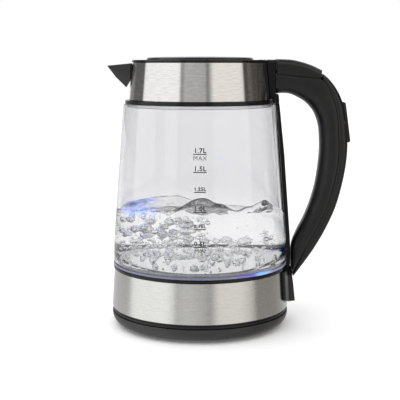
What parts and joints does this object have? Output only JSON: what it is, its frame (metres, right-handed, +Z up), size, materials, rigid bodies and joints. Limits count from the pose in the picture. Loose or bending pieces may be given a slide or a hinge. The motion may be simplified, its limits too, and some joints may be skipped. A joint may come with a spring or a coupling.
{
  "type": "electric kettle",
  "caption": "Cordless electric kettle: glass jug with steel collar and skirt, spout, hinged lid, loop handle with release button and switch, standing on a round power base.",
  "frame": {"origin": "on the common axis of jug and base, 0.6 mm below the flat underside of the base, in the plane that the four feet stand on", "axes": "+Z up along the jug's axis, +X towards the handle, -X towards the spout; the cord gland faces +Y and the litre scale -Y"},
  "size_m": [0.2169, 0.1622, 0.2412],
  "materials": {
    "charcoal_plastic": "fine moulded texture, satin",
    "black_plastic": "satin moulded black",
    "gloss_black": "polished black",
    "brushed_steel": "brushed round the jug",
    "bright_steel": "smooth",
    "clear_glass": "clear borosilicate",
    "light_acrylic": "frosted clear plastic",
    "silicone": "matt silicone",
    "rubber": "matt rubber",
    "nylon": "matt nylon",
    "brass": "plain",
    "aluminium": "as rolled",
    "circuit_board": "solder resist"
  },
  "bodies": {
    "base": {"base_shell": "charcoal_plastic", "base_bottom_cover": "charcoal_plastic", "base_foot_1": "rubber", "base_foot_2": "rubber", "base_foot_3": "rubber", "base_foot_4": "rubber", "base_screw_1": "bright_steel", "base_screw_2": "bright_steel", "base_screw_3": "bright_steel", "base_connector": "nylon", "base_line_contact": "brass", "base_earth_contact": "brass", "cord_gland": "rubber"},
    "jug_socket": {"jug_socket": "nylon", "socket_blade": "brass", "socket_pin": "brass"},
    "jug": {"jug_bottom_cover": "black_plastic", "steel_skirt": "brushed_steel", "jug_chassis": "gloss_black", "jug_screw_1": "bright_steel", "jug_screw_2": "bright_steel", "jug_screw_3": "bright_steel", "plate_seal": "silicone", "heater_plate": "bright_steel", "plate_sensor": "bright_steel", "heat_spreader": "aluminium", "heating_element": "bright_steel", "thermostat_body": "nylon", "bimetal_disc_1": "brass", "bimetal_disc_2": "brass", "light_ring": "light_acrylic", "led_board": "circuit_board", "glass_jug": "clear_glass", "collar_frame": "gloss_black", "collar_band": "brushed_steel", "collar_seal": "silicone", "spout": "black_plastic", "filter_frame": "nylon", "filter_mesh": "bright_steel", "handle_grip": "black_plastic", "handle_cover": "black_plastic", "handle_spine": "black_plastic", "handle_mount": "black_plastic", "handle_screw_upper": "bright_steel", "handle_screw_lower": "bright_steel", "hinge_pin": "bright_steel", "button_pin": "bright_steel", "switch_pin": "bright_steel", "hinge_spring": "bright_steel", "button_spring": "bright_steel", "steam_switch": "nylon"},
    "lid": {"lid_cover": "gloss_black", "lid_inner": "black_plastic", "lid_seal": "silicone"},
    "button": {"release_button": "black_plastic"},
    "latch": {"latch_slider": "nylon"},
    "rocker": {"switch_rocker": "gloss_black"}
  },
  "joints": [
    {"name": "lift_off", "type": "slide", "parent": "base", "child": "jug_socket", "axis": [0, 0, 1], "range_m": [0, 0.1]},
    {"name": "swivel", "type": "hinge", "parent": "jug_socket", "child": "jug", "pos_m": [0, 0, 0.022], "axis": [0, 0, 1], "continuous": true},
    {"name": "lid_hinge", "type": "hinge", "parent": "jug", "child": "lid", "pos_m": [0.0638, 0, 0.2352], "axis": [0, 1, 0], "range_deg": [0, 80], "deforming": ["hinge_spring"]},
    {"name": "button_press", "type": "hinge", "parent": "jug", "child": "button", "pos_m": [0.071, 0, 0.2195], "axis": [0, 1, 0], "range_deg": [0, 1.5], "stiffness_Nm_per_rad": 1.5, "springref_deg": -0.86, "deforming": ["button_spring"]},
    {"name": "latch_slide", "type": "slide", "parent": "jug", "child": "latch", "axis": [1, 0, 0], "range_m": [0, 0.002]},
    {"name": "switch_rock", "type": "hinge", "parent": "jug", "child": "rocker", "pos_m": [0.127, 0, 0.183], "axis": [0, -1, 0], "range_deg": [0, 8]}
  ],
  "couplings": [
    {"joint": "latch_slide", "follows": "button_press", "m_per_rad": 0.0764}
  ]
}
